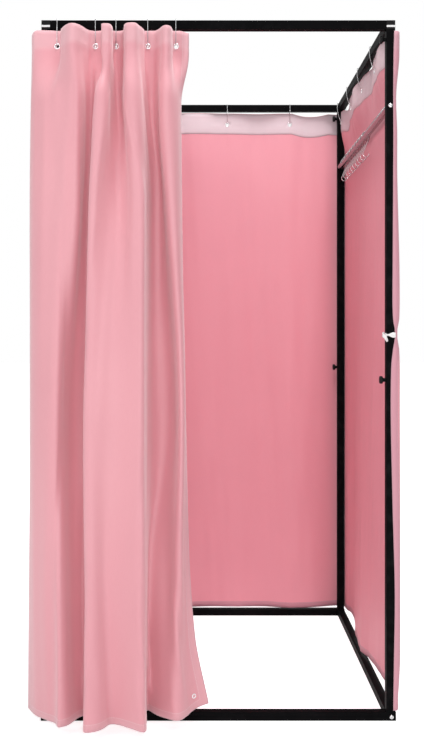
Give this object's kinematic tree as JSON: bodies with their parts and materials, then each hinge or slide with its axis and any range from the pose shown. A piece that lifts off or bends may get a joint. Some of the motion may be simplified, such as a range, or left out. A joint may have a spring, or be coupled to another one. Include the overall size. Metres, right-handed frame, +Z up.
{
  "type": "portable fitting room",
  "caption": "Knock-down square tube cabin with an open roof, curtain walls, a sliding doorway curtain and an inside clothes rail with S-hooks.",
  "frame": {"origin": "middle of the front bottom rail's underside, on the floor", "axes": "+Z up; +Y from the doorway to the back wall; +X to the right of someone who faces the doorway"},
  "size_m": [1.0489, 1.1559, 1.9826],
  "materials": {
    "powder_coat": "black powder coat, satin, fine texture",
    "black_plastic": "moulded black plastic",
    "chrome": "bright plated steel",
    "curtain_cloth": "pink woven cloth with a soft satin sheen"
  },
  "bodies": {
    "frame": {"bottom_rail_front": "powder_coat", "bottom_rail_back": "powder_coat", "bottom_rail_left": "powder_coat", "bottom_rail_right": "powder_coat", "top_rail_front": "powder_coat", "top_rail_back": "powder_coat", "top_rail_left": "powder_coat", "top_rail_right": "powder_coat", "end_plug_left": "black_plastic", "end_plug_right": "black_plastic", "lower_upright_front_left": "powder_coat", "lower_upright_front_right": "powder_coat", "lower_upright_back_left": "powder_coat", "lower_upright_back_right": "powder_coat", "upper_upright_front_left": "powder_coat", "upper_upright_front_right": "powder_coat", "upper_upright_back_left": "powder_coat", "upper_upright_back_right": "powder_coat", "clothes_rail": "chrome", "clothes_rail_bolt_front": "chrome", "clothes_rail_bolt_back": "chrome", "front_curtain_hook_1": "chrome", "back_curtain": "curtain_cloth", "back_curtain_hook_1": "chrome", "back_curtain_hook_2": "chrome", "back_curtain_hook_3": "chrome", "back_curtain_hook_4": "chrome", "left_curtain": "curtain_cloth", "left_curtain_hook_1": "chrome", "left_curtain_hook_2": "chrome", "left_curtain_hook_3": "chrome", "left_curtain_hook_4": "chrome", "right_curtain": "curtain_cloth", "right_curtain_hook_1": "chrome", "right_curtain_hook_2": "chrome", "right_curtain_hook_3": "chrome", "right_curtain_hook_4": "chrome"},
    "front_hook_2": {"front_curtain_hook_2": "chrome"},
    "front_hook_3": {"front_curtain_hook_3": "chrome"},
    "front_hook_4": {"front_curtain_hook_4": "chrome"},
    "front_curtain_lead": {"front_curtain_hook_5": "chrome", "front_curtain": "curtain_cloth"},
    "knob_middle_front_left": {"clamp_knob_middle_front_left": "black_plastic"},
    "knob_middle_front_right": {"clamp_knob_middle_front_right": "black_plastic"},
    "knob_middle_back_left": {"clamp_knob_middle_back_left": "black_plastic"},
    "knob_middle_back_right": {"clamp_knob_middle_back_right": "black_plastic"},
    "knob_upper_front_left": {"clamp_knob_upper_front_left": "black_plastic"},
    "knob_upper_front_right": {"clamp_knob_upper_front_right": "black_plastic"},
    "knob_upper_back_left": {"clamp_knob_upper_back_left": "black_plastic"},
    "knob_upper_back_right": {"clamp_knob_upper_back_right": "black_plastic"},
    "s_hook_1": {"s_hook_1": "chrome"},
    "s_hook_2": {"s_hook_2": "chrome"},
    "s_hook_3": {"s_hook_3": "chrome"},
    "s_hook_4": {"s_hook_4": "chrome"},
    "s_hook_5": {"s_hook_5": "chrome"},
    "s_hook_6": {"s_hook_6": "chrome"},
    "s_hook_7": {"s_hook_7": "chrome"},
    "s_hook_8": {"s_hook_8": "chrome"},
    "s_hook_9": {"s_hook_9": "chrome"},
    "s_hook_10": {"s_hook_10": "chrome"}
  },
  "joints": [
    {"name": "front_curtain_draw", "type": "slide", "parent": "frame", "child": "front_curtain_lead", "axis": [1, 0, 0], "range_m": [0, 0.555], "deforming": ["front_curtain"]},
    {"name": "front_hook_2_slide", "type": "slide", "parent": "frame", "child": "front_hook_2", "axis": [1, 0, 0], "range_m": [0, 0.14]},
    {"name": "front_hook_3_slide", "type": "slide", "parent": "frame", "child": "front_hook_3", "axis": [1, 0, 0], "range_m": [0, 0.28]},
    {"name": "front_hook_4_slide", "type": "slide", "parent": "frame", "child": "front_hook_4", "axis": [1, 0, 0], "range_m": [0, 0.48]},
    {"name": "knob_middle_front_left_turn", "type": "hinge", "parent": "frame", "child": "knob_middle_front_left", "pos_m": [-0.475, 0, 0.963], "axis": [1, 0, 0], "continuous": true},
    {"name": "knob_middle_front_right_turn", "type": "hinge", "parent": "frame", "child": "knob_middle_front_right", "pos_m": [0.475, 0, 0.963], "axis": [1, 0, 0], "continuous": true},
    {"name": "knob_middle_back_left_turn", "type": "hinge", "parent": "frame", "child": "knob_middle_back_left", "pos_m": [-0.475, 0.975, 0.963], "axis": [1, 0, 0], "continuous": true},
    {"name": "knob_middle_back_right_turn", "type": "hinge", "parent": "frame", "child": "knob_middle_back_right", "pos_m": [0.475, 0.975, 0.963], "axis": [1, 0, 0], "continuous": true},
    {"name": "knob_upper_front_left_turn", "type": "hinge", "parent": "frame", "child": "knob_upper_front_left", "pos_m": [-0.475, 0, 1.928], "axis": [1, 0, 0], "continuous": true},
    {"name": "knob_upper_front_right_turn", "type": "hinge", "parent": "frame", "child": "knob_upper_front_right", "pos_m": [0.475, 0, 1.928], "axis": [1, 0, 0], "continuous": true},
    {"name": "knob_upper_back_left_turn", "type": "hinge", "parent": "frame", "child": "knob_upper_back_left", "pos_m": [-0.475, 0.975, 1.928], "axis": [1, 0, 0], "continuous": true},
    {"name": "knob_upper_back_right_turn", "type": "hinge", "parent": "frame", "child": "knob_upper_back_right", "pos_m": [0.475, 0.975, 1.928], "axis": [1, 0, 0], "continuous": true},
    {"name": "s_hook_1_slide", "type": "slide", "parent": "frame", "child": "s_hook_1", "axis": [0, 1, 0], "range_m": [-0.02, 0.02]},
    {"name": "s_hook_2_slide", "type": "slide", "parent": "frame", "child": "s_hook_2", "axis": [0, 1, 0], "range_m": [-0.02, 0.02]},
    {"name": "s_hook_3_slide", "type": "slide", "parent": "frame", "child": "s_hook_3", "axis": [0, 1, 0], "range_m": [-0.02, 0.02]},
    {"name": "s_hook_4_slide", "type": "slide", "parent": "frame", "child": "s_hook_4", "axis": [0, 1, 0], "range_m": [-0.02, 0.02]},
    {"name": "s_hook_5_slide", "type": "slide", "parent": "frame", "child": "s_hook_5", "axis": [0, 1, 0], "range_m": [-0.02, 0.02]},
    {"name": "s_hook_6_slide", "type": "slide", "parent": "frame", "child": "s_hook_6", "axis": [0, 1, 0], "range_m": [-0.02, 0.02]},
    {"name": "s_hook_7_slide", "type": "slide", "parent": "frame", "child": "s_hook_7", "axis": [0, 1, 0], "range_m": [-0.02, 0.02]},
    {"name": "s_hook_8_slide", "type": "slide", "parent": "frame", "child": "s_hook_8", "axis": [0, 1, 0], "range_m": [-0.02, 0.02]},
    {"name": "s_hook_9_slide", "type": "slide", "parent": "frame", "child": "s_hook_9", "axis": [0, 1, 0], "range_m": [-0.02, 0.02]},
    {"name": "s_hook_10_slide", "type": "slide", "parent": "frame", "child": "s_hook_10", "axis": [0, 1, 0], "range_m": [-0.02, 0.02]}
  ],
  "couplings": [
    {"joint": "front_hook_2_slide", "follows": "front_curtain_draw", "ratio": 0.2448},
    {"joint": "front_hook_3_slide", "follows": "front_curtain_draw", "ratio": 0.4945},
    {"joint": "front_hook_4_slide", "follows": "front_curtain_draw", "ratio": 0.8589}
  ]
}
